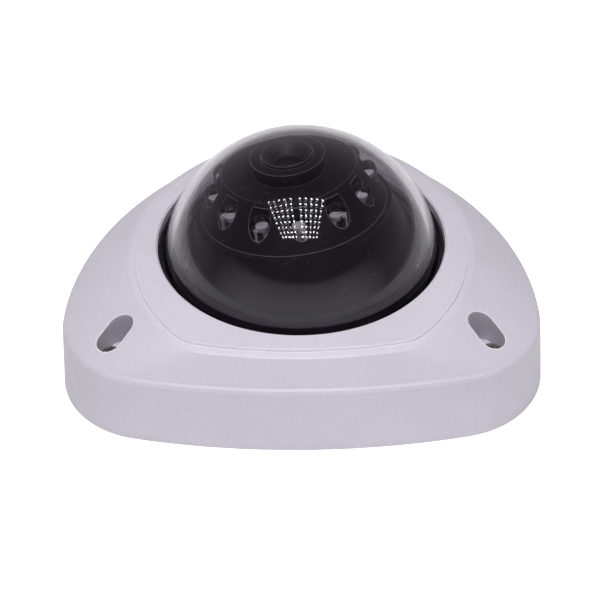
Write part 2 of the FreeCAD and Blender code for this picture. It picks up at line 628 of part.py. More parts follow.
def make_leds():
    """Round infrared LEDs with domed tips on a ring board behind the band."""
    leds = []
    for step in range(LED_COUNT):
        x, y = led_place(step)
        tip = move(bind(doc.addObject("Part::Sphere", "LedTip"), Radius="led_r"), x, y, "led_shoulder")
        leds.append(fuse(cylinder("led_r", "led_shoulder - led_base", x, y, "led_base"), tip))
    node(lean(fuse(*leds)), "ir_leds")
    holes = [cylinder("led_board_hole_r", "led_base - led_board_bottom", z="led_board_bottom")]
    for step in HEAD_SCREW_STEPS:
        x, y = led_place(step + 0.5)
        holes.append(cylinder("small_screw_r", "led_base - led_board_bottom", x, y, "led_board_bottom"))
    board = cylinder("led_board_r", "led_base - led_board_bottom", z="led_board_bottom")
    node(lean(cut(board, *holes)), "led_board")
    node(lean(box(*LIGHT_SENSOR, "led_base")), "light_sensor")


def make_roll_retainer():
    """Ring behind the ball's collar that keeps the head in the ball and lets it roll."""
    ring = cylinder("retainer_r", "retainer_top - retainer_bottom", z="retainer_bottom")
    rise = cylinder("led_board_r", "led_board_bottom - retainer_bottom", z="retainer_bottom")
    holes = [cylinder("retainer_in_r", "led_board_bottom", z="retainer_bottom")]
    screws = []
    for step in HEAD_SCREW_STEPS:
        x, y = led_place(step + 0.5)
        holes.append(cylinder("small_screw_r", "led_board_bottom", x, y, "retainer_bottom"))
        screws.append(screw("small_screw_r", "small_head_r", "small_head", "head_screw_tip",
                            "retainer_bottom", socket=False, x=x, y=y, head_down=True))
    node(lean(cut(fuse(ring, rise), *holes)), "roll_retainer")
    node(lean(fuse(*screws)), "head_screws")


def make_lens():
    """M12 lens: hood ring, barrel with a funnel in front, glasses, and its holder."""
    node(lean(tube("hood_r", "hood_in_r", "hood_top - hood_bottom", "hood_bottom")), "lens_hood")
    barrel = cylinder("barrel_r", "barrel_top - barrel_bottom", z="barrel_bottom")
    bore = cylinder("barrel_bore_r", "front_glass_crown - barrel_bottom", z="barrel_bottom")
    funnel = cone("funnel_in_r", "funnel_r", "funnel_depth", "barrel_top - funnel_depth")
    throat = cylinder("funnel_in_r", "barrel_top", z="barrel_bottom")
    node(lean(cut(barrel, bore, funnel, throat)), "lens_barrel")
    crown = sphere("2 * front_glass_r", "front_glass_crown - 2 * front_glass_r")
    blank = cylinder("front_glass_r", "front_glass_r", z="front_glass_back")
    node(lean(common(blank, crown)), "front_lens")
    node(lean(cylinder("front_glass_r", "rear_glass_front - rear_glass_back", z="rear_glass_back")),
         "rear_lens")
    base = box("holder_base", "holder_base", "holder_shoulder - holder_bottom", z="holder_bottom")
    neck = cylinder("holder_tube_r", "holder_top - holder_bottom", z="holder_bottom")
    cavity = box("holder_cavity", "holder_cavity", "holder_shoulder - holder_bottom - holder_roof",
                 z="holder_bottom")
    thread = cylinder("barrel_r", "holder_top", z="thread_bottom")
    node(lean(cut(fuse(base, neck), cavity, thread)), "lens_holder")
    node(lean(box("filter_size", "filter_size", "filter_thick", z="filter_bottom")),
         "ir_cut_filter")


def make_sensor():
    board_top = "holder_bottom"
    thick = "holder_bottom - sensor_board_bottom"
    holes = []
    posts = []
    screws = []
    for side_x in FRONT_CORNERS:
        for side_y in FRONT_CORNERS:
            x, y = f"{side_x} * sensor_post_x", f"{side_y} * sensor_post_y"
            holes.append(cylinder("small_screw_r", thick, x, y, "sensor_board_bottom"))
            post = cylinder("sensor_post_r", "led_board_bottom - holder_bottom", x, y, board_top)
            posts.append(cut(post, cylinder("small_screw_r", "sensor_post_bore", x, y, board_top)))
            screws.append(screw("small_screw_r", "small_head_r", "small_head",
                                "(holder_bottom + sensor_screw_reach)", "sensor_board_bottom",
                                socket=False, x=x, y=y, head_down=True))
    board = box("sensor_board_x", "sensor_board_y", thick, z="sensor_board_bottom")
    node(lean(cut(board, *holes)), "sensor_board")
    node(lean(box("sensor_size", "sensor_size", "sensor_thick", z=board_top)), "image_sensor")
    node(lean(fuse(*posts)), "sensor_standoffs")
    node(lean(fuse(*screws)), "sensor_screws")


# ---------------------------------------------------------------------------------- build
make_base_plate()
make_perimeter_seal()
make_top_cover()
make_cover_fasteners()
make_dome()
make_clamp_ring()
make_cable_grommet()
make_main_board()
make_pan_carriage()
make_tilt_ball()
make_head_bezel()
make_leds()
make_roll_retainer()
make_lens()
make_sensor()
doc.recompute()

for obj in doc.Objects:
    if "Invalid" in obj.State or "Error" in obj.State:
        raise RuntimeError(f"{obj.Name} ({obj.Label}) did not compute: {obj.State}")
for obj in NODES:
    if obj.Shape.isNull() or not obj.Shape.isValid() or not obj.Shape.Solids:
        raise RuntimeError(f"{obj.Label} has no sound solid")

os.makedirs("parts", exist_ok=True)
for obj in NODES:
    obj.Shape.exportStep(os.path.join("parts", obj.Label + ".step"))
    print(f"{obj.Label}: {len(obj.Shape.Solids)} solid(s), {obj.Shape.Volume:.1f} mm3")
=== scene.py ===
import json
import math

import bmesh
import bpy
from mathutils import Matrix, Vector


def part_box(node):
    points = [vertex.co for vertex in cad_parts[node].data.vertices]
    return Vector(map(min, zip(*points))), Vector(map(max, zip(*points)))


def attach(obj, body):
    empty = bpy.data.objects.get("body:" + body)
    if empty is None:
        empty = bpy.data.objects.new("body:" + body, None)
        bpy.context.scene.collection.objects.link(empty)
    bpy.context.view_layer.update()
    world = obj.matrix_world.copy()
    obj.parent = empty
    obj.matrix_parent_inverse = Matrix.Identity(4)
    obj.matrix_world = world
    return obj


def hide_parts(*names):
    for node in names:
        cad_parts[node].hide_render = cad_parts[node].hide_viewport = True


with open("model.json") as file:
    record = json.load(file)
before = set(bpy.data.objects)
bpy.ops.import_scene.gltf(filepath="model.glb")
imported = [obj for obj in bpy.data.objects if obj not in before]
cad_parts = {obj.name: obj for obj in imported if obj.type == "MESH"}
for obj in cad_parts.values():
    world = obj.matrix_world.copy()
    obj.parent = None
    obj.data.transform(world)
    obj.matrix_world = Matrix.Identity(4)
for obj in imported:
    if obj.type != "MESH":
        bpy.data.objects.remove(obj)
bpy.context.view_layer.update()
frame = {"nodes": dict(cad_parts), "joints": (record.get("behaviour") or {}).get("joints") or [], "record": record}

NODES = frame["nodes"]
JOINTS = {joint["name"]: joint for joint in frame["joints"]}
MM = 0.001
WHOLE_TURN = 2 * math.pi

# ------------------------------------------------------------------------------- camera
CAMERA_DISTANCE = 0.450
CAMERA_ELEVATION = math.radians(41.52)
CAMERA_YAW = math.radians(-1.14)
CAMERA_ROLL = math.radians(1.24)
AIM_UP = math.radians(0.461)
AIM_LEFT = math.radians(0.086)
LENS_MM = 106.2
SENSOR_MM = 36


def make_camera():
    """Stands in front of and above the camera housing, looking at the foot of the dome's axis."""
    turn = Matrix.Rotation(-CAMERA_YAW, 3, "Z")
    cos_e, sin_e = math.cos(CAMERA_ELEVATION), math.sin(CAMERA_ELEVATION)
    right = turn @ Vector((1, 0, 0))
    up = turn @ Vector((0, sin_e, cos_e))
    back = turn @ Vector((0, -cos_e, sin_e))
    axes = Matrix((right, up, back)).transposed()
    axes = axes @ Matrix.Rotation(-CAMERA_ROLL, 3, "Z")
    axes = axes @ Matrix.Rotation(AIM_UP, 3, "X") @ Matrix.Rotation(AIM_LEFT, 3, "Y")
    data = bpy.data.cameras.new("camera")
    data.lens = LENS_MM
    data.sensor_width = SENSOR_MM
    camera = bpy.data.objects.new("camera", data)
    camera.matrix_world = Matrix.Translation(back * CAMERA_DISTANCE) @ axes.to_4x4()
    bpy.context.scene.collection.objects.link(camera)
    bpy.context.scene.camera = camera


# ---------------------------------------------------------------------------- materials
# A noise's values lie mostly between these two.
NOISE_LOW = 0.3
NOISE_HIGH = 0.7
# Bevel radii in metres for the painted highlights drawn along corners, on plastic and on paint.
PLASTIC_HIGHLIGHT_CORNER = 0.00028
PAINT_HIGHLIGHT_CORNER = 0.00055
CORNER_SAMPLES = 8
# How far the rounded normal agrees with the face's, as a cosine, at a corner and off it.
AT_CORNER = 0.80
OFF_CORNER = 0.97


def new_material(name):
    """A node material: itself, its tree, its shader and the object's own coordinates."""
    material = bpy.data.materials.new(name)
    material.use_nodes = True
    tree = material.node_tree
    shader = tree.nodes["Principled BSDF"]
    place = tree.nodes.new("ShaderNodeTexCoord").outputs["Object"]
    return material, tree, shader, place


def noise(tree, place, scale, detail=3.0, rough=0.55, stretch=None):
    """A noise value over the object, its scale in waves per metre."""
    if stretch:
        mapping = tree.nodes.new("ShaderNodeMapping")
        mapping.inputs["Scale"].default_value = stretch
        tree.links.new(place, mapping.inputs["Vector"])
        place = mapping.outputs["Vector"]
    node = tree.nodes.new("ShaderNodeTexNoise")
    node.inputs["Scale"].default_value = scale
    node.inputs["Detail"].default_value = detail
    node.inputs["Roughness"].default_value = rough
    tree.links.new(place, node.inputs["Vector"])
    return node.outputs["Fac"]


def ramp(tree, value, stops):
    """Colours by value; stops are (place, colour)."""
    node = tree.nodes.new("ShaderNodeValToRGB")
    points = node.color_ramp.elements
    while len(points) < len(stops):
        points.new(0.5)
    for point, (where, colour) in zip(points, stops):
        point.position = where
        point.color = (*colour, 1)
    tree.links.new(value, node.inputs["Fac"])
    return node.outputs["Color"]


def levels(tree, value, low, high, start=NOISE_LOW, end=NOISE_HIGH, curve="LINEAR"):
    """The value between start and end, spread from low to high."""
    node = tree.nodes.new("ShaderNodeMapRange")
    node.interpolation_type = curve
    for name, number in (("From Min", start), ("From Max", end), ("To Min", low), ("To Max", high)):
        node.inputs[name].default_value = number
    tree.links.new(value, node.inputs["Value"])
    return node.outputs["Result"]


def arithmetic(tree, operation, first, second):
    """The sum or product of two values."""
    node = tree.nodes.new("ShaderNodeMath")
    node.operation = operation
    tree.links.new(first, node.inputs[0])
    tree.links.new(second, node.inputs[1])
    return node.outputs["Value"]


def blend(tree, fac, first, second):
    """Colours mixed by a value."""
    node = tree.nodes.new("ShaderNodeMix")
    node.data_type = "RGBA"
    tree.links.new(fac, node.inputs["Factor"])
    for socket, source in ((node.inputs["A"], first), (node.inputs["B"], second)):
        if hasattr(source, "is_linked"):
            tree.links.new(source, socket)
        else:
            socket.default_value = (*source, 1)
    return node.outputs["Result"]


def by_ray(tree, kind, usual, special, output):
    """The special shader for rays of that kind, and the usual one for all others."""
    path = tree.nodes.new("ShaderNodeLightPath")
    mix = tree.nodes.new("ShaderNodeMixShader")
    tree.links.new(path.outputs[kind], mix.inputs["Fac"])
    tree.links.new(usual, mix.inputs[1])
    tree.links.new(special, mix.inputs[2])
    tree.links.new(mix.outputs["Shader"], tree.nodes[output].inputs["Surface"])


def bump(tree, shader, height, depth, before=None):
    """Relief of that depth in metres; returns the normal, so that another can go over it."""
    node = tree.nodes.new("ShaderNodeBump")
    node.inputs["Strength"].default_value = 1.0
    node.inputs["Distance"].default_value = depth
    tree.links.new(height, node.inputs["Height"])
    if before is not None:
        tree.links.new(before, node.inputs["Normal"])
    tree.links.new(node.outputs["Normal"], shader.inputs["Normal"])
    return node.outputs["Normal"]


def highlight_corner_share(tree, radius):
    """1 at a corner and 0 away from it, by how far the rounded normal leaves the face's own. It masks the painted
    highlights along the edges.
    """
    rounded = tree.nodes.new("ShaderNodeBevel")
    rounded.samples = CORNER_SAMPLES
    rounded.inputs["Radius"].default_value = radius
    flat = tree.nodes.new("ShaderNodeNewGeometry").outputs["Normal"]
    dot = tree.nodes.new("ShaderNodeVectorMath")
    dot.operation = "DOT_PRODUCT"
    tree.links.new(rounded.outputs["Normal"], dot.inputs[0])
    tree.links.new(flat, dot.inputs[1])
    return levels(tree, dot.outputs["Value"], 1, 0, AT_CORNER, OFF_CORNER)


def tinted(colour, share):
    """The colour made darker or lighter."""
    return tuple(min(1.0, channel * share) for channel in colour)


def mottled(tree, place, colour, scale, detail, dark, light=1.0, start=NOISE_LOW):
    """The colour varying between a darker and a lighter share of itself."""
    stops = [(start, tinted(colour, dark)), (NOISE_HIGH, tinted(colour, light))]
    return ramp(tree, noise(tree, place, scale, detail), stops)


def painted_metal(name, colour, grain, roughness, metallic=0.0, peel=0.00002, edge=None):
    """Sprayed coat over a casting: slight mottling, fine dark and light grains, soft peel."""
    material, tree, shader, place = new_material(name)
    cloud = mottled(tree, place, colour, 55, 4, 0.965, 1.03)
    fleck = noise(tree, place, grain, 2, 0.8)
    dark = levels(tree, fleck, 1, 0, 0.30, 0.45)
    light = levels(tree, fleck, 0, 1, 0.58, 0.72)
    mixed = blend(tree, dark, cloud, tinted(colour, 0.86))
    mixed = blend(tree, light, mixed, tinted(colour, 1.10))
    # The edge colour is a painted highlight: corners drawn lighter as though they caught the light.
    if edge:
        mixed = blend(tree, highlight_corner_share(tree, PAINT_HIGHLIGHT_CORNER), mixed, edge)
    tree.links.new(mixed, shader.inputs["Base Color"])
    tree.links.new(levels(tree, fleck, roughness - 0.05, roughness + 0.07), shader.inputs["Roughness"])
    shader.inputs["Metallic"].default_value = metallic
    shader.inputs["Specular IOR Level"].default_value = 0.5
    normal = bump(tree, shader, noise(tree, place, 420, 2), peel)
    bump(tree, shader, fleck, peel * 0.3, normal)
    return material


def moulded_plastic(name, colour, roughness, grain=3200, depth=0.000006, coat=0.0, edge=None):
    """Moulded plastic: fine spark-eroded grain, faint flow mottling and lint-like specks.
    An edge colour draws the corners lighter: a painted highlight, as though the corners caught the light."""
    material, tree, shader, place = new_material(name)
    cloud = mottled(tree, place, colour, 90, 3, 0.8, 1.25)
    speck = levels(tree, noise(tree, place, grain * 0.45, 1, 0.5), 0, 1, 0.70, 0.78)
    dust = tuple(channel + 0.10 for channel in colour)
    body = blend(tree, speck, cloud, dust)
    # The edge colour is a painted highlight: corners drawn lighter as though they caught the light.
    if edge:
        body = blend(tree, highlight_corner_share(tree, PLASTIC_HIGHLIGHT_CORNER), body, edge)
    tree.links.new(body, shader.inputs["Base Color"])
    fine = noise(tree, place, grain, 2, 0.6)
    tree.links.new(levels(tree, fine, roughness - 0.05, roughness + 0.08), shader.inputs["Roughness"])
    shader.inputs["Coat Weight"].default_value = coat
    shader.inputs["Coat Roughness"].default_value = 0.12
    bump(tree, shader, fine, depth)
    return material


def bare_metal(name, colour, roughness, stretch=(1, 1, 1), scale=1400, stain=0.8, depth=0.000004):
    """Plated, turned or brushed metal with fine marks along its working direction."""
    material, tree, shader, place = new_material(name)
    cloud = mottled(tree, place, colour, 350, 4, stain, start=0.25)
    tree.links.new(cloud, shader.inputs["Base Color"])
    marks = noise(tree, place, scale, 3, 0.6, stretch)
    tree.links.new(levels(tree, marks, roughness * 0.7, roughness * 1.4), shader.inputs["Roughness"])
    shader.inputs["Metallic"].default_value = 1.0
    bump(tree, shader, marks, depth)
    return material


def clear_plastic(name, colour, ior, lamp_tint, haze_scale=260):
    """Clear moulding. Lamps' light passes through it to what it covers."""
    material, tree, shader, place = new_material(name)
    haze = mottled(tree, place, colour, haze_scale, 2, 0.985)
    tree.links.new(haze, shader.inputs["Base Color"])
    shader.inputs["Roughness"].default_value = 0.0
    shader.inputs["IOR"].default_value = ior
    shader.inputs["Transmission Weight"].default_value = 1.0
    clear = tree.nodes.new("ShaderNodeBsdfTransparent")
    clear.inputs["Color"].default_value = (*lamp_tint, 1)
    by_ray(tree, "Is Shadow Ray", shader.outputs["BSDF"], clear.outputs["BSDF"], "Material Output")
    return material


def coated_glass(name, colour, sheen):
    """Dark lens glass whose coating tints its reflections."""
    material, tree, shader, place = new_material(name)
    tree.links.new(mottled(tree, place, colour, 300, 2, 0.8), shader.inputs["Base Color"])
    shader.inputs["Roughness"].default_value = 0.03
    shader.inputs["Specular IOR Level"].default_value = 0.8
    shader.inputs["Specular Tint"].default_value = (*sheen, 1)
    shader.inputs["Coat Weight"].default_value = 0.6
    shader.inputs["Coat Roughness"].default_value = 0.02
    return material


def circuit_board(name):
    """Green solder mask over copper tracks."""
    material, tree, shader, place = new_material(name)
    tracks = tree.nodes.new("ShaderNodeTexBrick")
    tracks.inputs["Scale"].default_value = 420
    tracks.inputs["Mortar Size"].default_value = 0.03
    tracks.inputs["Color1"].default_value = (0.012, 0.10, 0.045, 1)
    tracks.inputs["Color2"].default_value = (0.016, 0.125, 0.055, 1)
    tracks.inputs["Mortar"].default_value = (0.03, 0.19, 0.09, 1)
    tree.links.new(place, tracks.inputs["Vector"])
    pad = levels(tree, noise(tree, place, 700, 1), 0, 1, 0.66, 0.68)
    mask = blend(tree, pad, tracks.outputs["Color"], (0.55, 0.50, 0.38))
    tree.links.new(mask, shader.inputs["Base Color"])
    tree.links.new(levels(tree, pad, 0.38, 0.2, 0, 1), shader.inputs["Roughness"])
    bump(tree, shader, tracks.outputs["Fac"], 0.00002)
    return material


def rubber(name, colour):
    """Dull rubber with a fine bloom."""
    material, tree, shader, place = new_material(name)
    tree.links.new(mottled(tree, place, colour, 500, 4, 0.75, 1.3), shader.inputs["Base Color"])
    fine = noise(tree, place, 2600, 3)
    tree.links.new(levels(tree, fine, 0.6, 0.85), shader.inputs["Roughness"])
    shader.inputs["Specular IOR Level"].default_value = 0.3
    bump(tree, shader, fine, 0.00001)
    return material


def make_materials():
    """Every material by name: one for each slot, and two more for what is inside the LEDs."""
    lilac = (0.595, 0.563, 0.632)
    return {
        # The cover's edge colour paints highlights along its corners.
        "painted_cover": painted_metal("painted_cover", lilac, 2600, 0.50, 0.05, edge=(0.98, 0.97, 0.99)),
        "cast_plate": painted_metal("cast_plate", (0.47, 0.44, 0.52), 1800, 0.5, 0.15, 0.00004),
        "silicone": rubber("silicone", (0.55, 0.54, 0.52)),
        "nickel_screws": bare_metal("nickel_screws", (0.62, 0.56, 0.47), 0.22, stain=0.45),
        "steel_screws": bare_metal("steel_screws", (0.56, 0.56, 0.58), 0.28),
        "brass": bare_metal("brass", (0.72, 0.50, 0.20), 0.25, (1, 1, 8)),
        "clear_bubble": clear_plastic("clear_bubble", (0.50, 0.468, 0.515), 1.49, (0.82, 0.80, 0.84)),
        "black_gasket": rubber("black_gasket", (0.012, 0.012, 0.014)),
        "black_plastic": moulded_plastic("black_plastic", (0.034, 0.031, 0.040), 0.42),
        "circuit_board": circuit_board("circuit_board"),
        "led_board_black": moulded_plastic("led_board_black", (0.012, 0.012, 0.014), 0.3, 1800, 0.000008,
                                           coat=0.4),
        "chip_black": moulded_plastic("chip_black", (0.022, 0.022, 0.024), 0.55, 5200),
        "capacitor_can": bare_metal("capacitor_can", (0.66, 0.66, 0.68), 0.3, (1, 1, 6)),
        "socket_nylon": moulded_plastic("socket_nylon", (0.66, 0.62, 0.52), 0.45),
        "yoke_steel": bare_metal("yoke_steel", (0.5, 0.5, 0.52), 0.34, (1, 9, 1)),
        "pin_steel": bare_metal("pin_steel", (0.6, 0.6, 0.62), 0.24, (6, 1, 1)),
        "ball_black": moulded_plastic("ball_black", (0.016, 0.015, 0.020), 0.36, 2600, 0.000004),
        # The bezel's and the lens's edge colours paint highlights along their corners.
        "bezel_black": moulded_plastic("bezel_black", (0.013, 0.012, 0.015), 0.46, 2800, 0.000008,
                                       edge=(0.40, 0.39, 0.42)),
        "led_clear": clear_plastic("led_clear", (0.97, 0.96, 0.98), 1.50, (0.95, 0.95, 0.96), 900),
        "lens_black": moulded_plastic("lens_black", (0.010, 0.009, 0.012), 0.40, 3600, 0.000005,
                                      edge=(0.52, 0.51, 0.54)),
        "lens_glass": coated_glass("lens_glass", (0.006, 0.004, 0.012), (0.75, 0.6, 1.0)),
        "filter_glass": coated_glass("filter_glass", (0.05, 0.12, 0.14), (1.0, 0.7, 0.7)),
        "led_metal": painted_metal("led_metal", (0.99, 0.98, 0.96), 1900, 0.2, 0.4, 0.00005),
        "led_chip": moulded_plastic("led_chip", (0.05, 0.035, 0.03), 0.3, 6000),
    }


def dress_nodes(materials):
    """Gives each CAD node the material of its slot."""
    slots = {row["node"]: row["material_slot"] for row in frame["record"]["subparts"]}
    for name, slot in slots.items():
        data = NODES[name].data
        data.materials.clear()
        data.materials.append(materials[slot])


# ------------------------------------------------------------------------- mesh helpers
def new_piece(name, build, material, body, smooth=40):
    """A mesh object from a bmesh builder, riding on a body."""
    mesh = bpy.data.meshes.new(name)
    bm = bmesh.new()
    build(bm)
    bmesh.ops.remove_doubles(bm, verts=bm.verts, dist=1e-7)
    bmesh.ops.recalc_face_normals(bm, faces=bm.faces)
    bm.to_mesh(mesh)
    bm.free()
    mesh.materials.append(material)
    piece = bpy.data.objects.new(name, mesh)
    bpy.context.scene.collection.objects.link(piece)
    mesh.shade_smooth()
    mesh.set_sharp_from_angle(angle=math.radians(smooth))
    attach(piece, body)
    return piece


def lathe(bm, profile, steps, place=Matrix.Identity(4), shape=None):
    """Turns a profile of (radius, height) in mm about Z. shape(angle, index) scales a radius."""
    rings = []
    for index, (radius, height) in enumerate(profile):
        if radius == 0:
            rings.append([bm.verts.new(place @ Vector((0, 0, height * MM)))])
            continue
        ring = []
        for step in range(steps):
            angle = WHOLE_TURN * step / steps
            r = radius * (shape(angle, index) if shape else 1) * MM
            spot = Vector((r * math.cos(angle), r * math.sin(angle), height * MM))
            ring.append(bm.verts.new(place @ spot))
        rings.append(ring)
    for low, high in zip(rings, rings[1:]):
        for step in range(steps):
            after = (step + 1) % steps
            if len(low) == 1 and len(high) == 1:
                continue
            if len(low) == 1:
                bm.faces.new((low[0], high[after], high[step]))
            elif len(high) == 1:
                bm.faces.new((low[step], low[after], high[0]))
            else:
                bm.faces.new((low[step], low[after], high[after], high[step]))


def arc_points(centre_r, centre_z, radius, start, end, count):
    """Profile points on an arc, angles in degrees from the radius direction."""
    points = []
    for index in range(count + 1):
        angle = math.radians(start + (end - start) * index / count)
        across = max(0.0, centre_r + radius * math.cos(angle))
        points.append((across, centre_z + radius * math.sin(angle)))
    return points


def post(bm, place, x, low, high, wide):
    """A square upright post, its middle at x."""
    half = wide / 2
    corners = [(x - half, -half), (x + half, -half), (x + half, half), (x - half, half)]
    rings = [[bm.verts.new(place @ Vector((cx * MM, cy * MM, z * MM))) for cx, cy in corners]
             for z in (low, high)]
    close_tube(bm, rings)


def strut(bm, place, x0, z0, x1, z1, radius):
    """A thin square wire from one point to another in the XZ plane."""
    along = Vector((x1 - x0, 0, z1 - z0)).normalized()
    side = Vector((0, 1, 0))
    over = along.cross(side)
    rings = []
    for x, z in ((x0, z0), (x1, z1)):
        middle = Vector((x, 0, z))
        rings.append([bm.verts.new(place @ ((middle + (side * a + over * b) * radius) * MM))
                      for a, b in ((-1, -1), (1, -1), (1, 1), (-1, 1))])
    close_tube(bm, rings)


def close_tube(bm, rings):
    """Walls and ends between two rings of corners."""
    low, high = rings
    count = len(low)
    for step in range(count):
        after = (step + 1) % count
        bm.faces.new((low[step], low[after], high[after], high[step]))
    bm.faces.new(list(reversed(low)))
    bm.faces.new(high)


# --------------------------------------------------------------------------- head frame
PIVOT = Vector(JOINTS["roll"]["pos_m"])
LENS_AXIS = Vector(JOINTS["roll"]["axis"]).normalized()
LEAN_AZIMUTH = math.atan2(LENS_AXIS.y, LENS_AXIS.x)
LEAN = math.acos(LENS_AXIS.z)
HEAD = (Matrix.Translation(PIVOT) @ Matrix.Rotation(LEAN_AZIMUTH, 4, "Z")
        @ Matrix.Rotation(LEAN, 4, "Y"))

# In mm, heights from the pivot along the lens axis.
LED_COUNT = 12
LED_CIRCLE_R = 17.9
LED_PHASE = math.radians(17.5)
LED_TWIST = 0.9
LED_BASE = 18.0
LED_SHOULDER = 23.2
LED_R = 2.5
LED_EASE = 0.1
CUP_X = 0.32
CUP_TOP = LED_SHOULDER - 0.35
CUP_FLOOR = CUP_TOP - 0.75
CUP_UNDER = CUP_TOP - 1.15
FRAME_FOOT = LED_BASE + 0.15
BOND_TOP = CUP_TOP - 0.2
CHIP_WIDE = 0.36
WIRE_R = 0.05


def led_place(step):
    """Where an LED stands on the ring; each is turned differently about its own axis."""
    angle = LED_PHASE + WHOLE_TURN * step / LED_COUNT
    spot = Vector((LED_CIRCLE_R * MM * math.cos(angle), LED_CIRCLE_R * MM * math.sin(angle), 0))
    return HEAD @ Matrix.Translation(spot) @ Matrix.Rotation(angle + LED_TWIST * step, 4, "Z")


def led_bodies(bm):
    """Clear epoxy bodies with domed tips."""
    profile = [(0, LED_BASE), (LED_R - LED_EASE, LED_BASE), (LED_R, LED_BASE + LED_EASE),
               (LED_R, LED_SHOULDER)]
    profile += arc_points(0, LED_SHOULDER, LED_R, 0, 90, 14)[1:]
    for step in range(LED_COUNT):
        lathe(bm, profile, 40, led_place(step))


def led_frames(bm):
    """A reflector cup on one post, and the other post with its bond wire to the chip."""
    cup = [(0, CUP_FLOOR), (0.42, CUP_FLOOR), (0.80, CUP_TOP), (0.93, CUP_TOP),
           (0.93, CUP_TOP - 0.12), (0.62, CUP_UNDER), (0, CUP_UNDER)]
    posts = ((0.62, FRAME_FOOT, CUP_UNDER + 0.05, 0.42), (-1.15, FRAME_FOOT, BOND_TOP, 0.34),
             (-0.98, CUP_FLOOR, BOND_TOP, 0.62))
    wire = [(-1.0, BOND_TOP), (-0.7, CUP_TOP + 0.22), (-0.2, CUP_TOP + 0.25), (0.3, CUP_FLOOR + 0.2)]
    for step in range(LED_COUNT):
        place = led_place(step)
        lathe(bm, cup, 24, place @ Matrix.Translation((CUP_X * MM, 0, 0)))
        for x, low, high, wide in posts:
            post(bm, place, x, low, high, wide)
        for (x0, z0), (x1, z1) in zip(wire, wire[1:]):
            strut(bm, place, x0, z0, x1, z1, WIRE_R)


def led_chips(bm):
    """The chip on each cup's floor."""
    for step in range(LED_COUNT):
        post(bm, led_place(step), CUP_X, CUP_FLOOR + 0.02, CUP_FLOOR + 0.25, CHIP_WIDE)


def make_leds(materials):
    """The twelve infrared LEDs: clear bodies, and in each its metal frame and its chip."""
    lenses = new_piece("led_lenses", led_bodies, materials["led_clear"], "camera_head")
    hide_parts("ir_leds")
    new_piece("led_frames", led_frames, materials["led_metal"], "camera_head", smooth=30)
    new_piece("led_chips", led_chips, materials["led_chip"], "camera_head", smooth=20)


# ------------------------------------------------------------------------- cover screws
# In mm.
SCREW_HEAD_R = 2.9
SCREW_HEAD_TALL = 2.2
SCREW_CROWN_R = 1.3
SHANK_R = 1.45
SHANK_TAPER = 0.4
HEX_R = 1.15
HEX_EASE = 0.12
HEX_DEPTH = 1.3
PIN_R = 0.42
PIN_DROP = 0.22


def hexagon_share(angle):
    """Distance from the middle to a hexagon's edge, as a share of its corner radius."""
    sector = math.radians(60)
    return math.cos(sector / 2) / math.cos((angle % sector) - sector / 2)


def make_cover_screws(materials):
    """Nickel button-head security screws: crowned head, hexagon socket with a pin in it."""
    lowest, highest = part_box("cover_screws")
    bottom, top = lowest.z / MM, highest.z / MM
    under = top - SCREW_HEAD_TALL
    rim = top - SCREW_CROWN_R
    outside = [(0, bottom), (SHANK_R - SHANK_TAPER, bottom), (SHANK_R, bottom + SHANK_TAPER),
               (SHANK_R, under), (SCREW_HEAD_R - 0.1, under), (SCREW_HEAD_R, under + 0.12),
               (SCREW_HEAD_R, rim)]
    outside += arc_points(SCREW_HEAD_R - SCREW_CROWN_R, rim, SCREW_CROWN_R, 0, 90, 8)[1:]
    hexagon = [(HEX_R + HEX_EASE, top), (HEX_R, top - HEX_EASE), (HEX_R, top - HEX_DEPTH)]
    pin = [(PIN_R, top - HEX_DEPTH), (PIN_R, top - 0.35), (PIN_R - 0.12, top - PIN_DROP),
           (0, top - PIN_DROP)]
    hexagon_rows = range(len(outside), len(outside) + len(hexagon))
    places = island_centres(NODES["cover_screws"])

    def shape(angle, index):
        return hexagon_share(angle) if index in hexagon_rows else 1.0

    def build(bm):
        for centre in places:
            place = Matrix.Translation((centre.x, centre.y, 0))
            lathe(bm, outside + hexagon + pin, 48, place, shape)

    screws = new_piece("cover_screw_bodies", build, materials["nickel_screws"], "housing",
                       smooth=35)
    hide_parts("cover_screws")


def island_centres(obj):
    """The middle, in plan, of each separate solid of a CAD node."""
    bm = bmesh.new()
    bm.from_mesh(obj.data)
    bmesh.ops.remove_doubles(bm, verts=bm.verts, dist=1e-6)
    left = set(bm.verts)
    centres = []
    while left:
        stack = [left.pop()]
        island = list(stack)
        while stack:
            for edge in stack.pop().link_edges:
                for vert in edge.verts:
                    if vert in left:
                        left.remove(vert)
                        stack.append(vert)
                        island.append(vert)
        low = Vector([min(v.co[axis] for v in island) for axis in range(3)])
        high = Vector([max(v.co[axis] for v in island) for axis in range(3)])
        centres.append((low + high) / 2)
    bm.free()
    return sorted(centres, key=lambda c: (round(c.x, 5), round(c.y, 5)))


# ------------------------------------------------------------------------------- bubble
# In mm.
BUBBLE_WALL = 2.0
FLANGE_TALL = 2.0
FLANGE_EASE = 0.15
# The fillet round the dome's foot, and its middle point out from the dome and up from the flange.
FILLET = 0.35
FILLET_OUT = 0.12
FILLET_UP = 0.1
BUBBLE_ARC_STEPS = 72
BUBBLE_SIDES = 256


